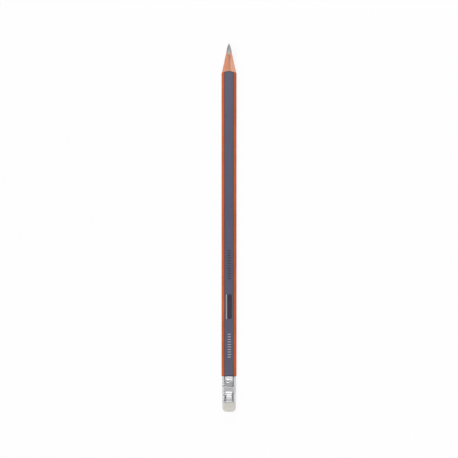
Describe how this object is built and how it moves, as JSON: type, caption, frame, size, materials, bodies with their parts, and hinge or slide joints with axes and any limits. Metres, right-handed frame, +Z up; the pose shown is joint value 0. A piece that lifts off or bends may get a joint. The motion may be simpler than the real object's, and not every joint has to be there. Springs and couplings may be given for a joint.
{
  "type": "triangular pencil",
  "caption": "Three-sided lacquered wooden pencil with grey flats, orange edges, a sharpened point, a crimped metal ferrule and an eraser.",
  "frame": {"origin": "centre of the pencil's box on the surface it lies on, on its bottom flat", "axes": "+Z up from the flat it lies on, +Y along the pencil towards the sharpened point, +X across it"},
  "size_m": [0.0078, 0.19, 0.007],
  "materials": {
    "graphite": "satin",
    "cedar_wood": "matte",
    "wood_glue": "matte",
    "grey_lacquer": "satin",
    "orange_lacquer": "satin",
    "ferrule_metal": "gloss",
    "eraser_rubber": "matte"
  },
  "bodies": {
    "root": {"graphite_lead": "graphite", "wood_slat_upper": "cedar_wood", "wood_slat_lower": "cedar_wood", "glue_line_flat": "wood_glue", "glue_line_edge": "wood_glue", "lacquer_coat": "grey_lacquer", "edge_stripe_top": "orange_lacquer", "edge_stripe_left": "orange_lacquer", "edge_stripe_right": "orange_lacquer", "ferrule": "ferrule_metal", "eraser": "eraser_rubber"}
  },
  "joints": []
}
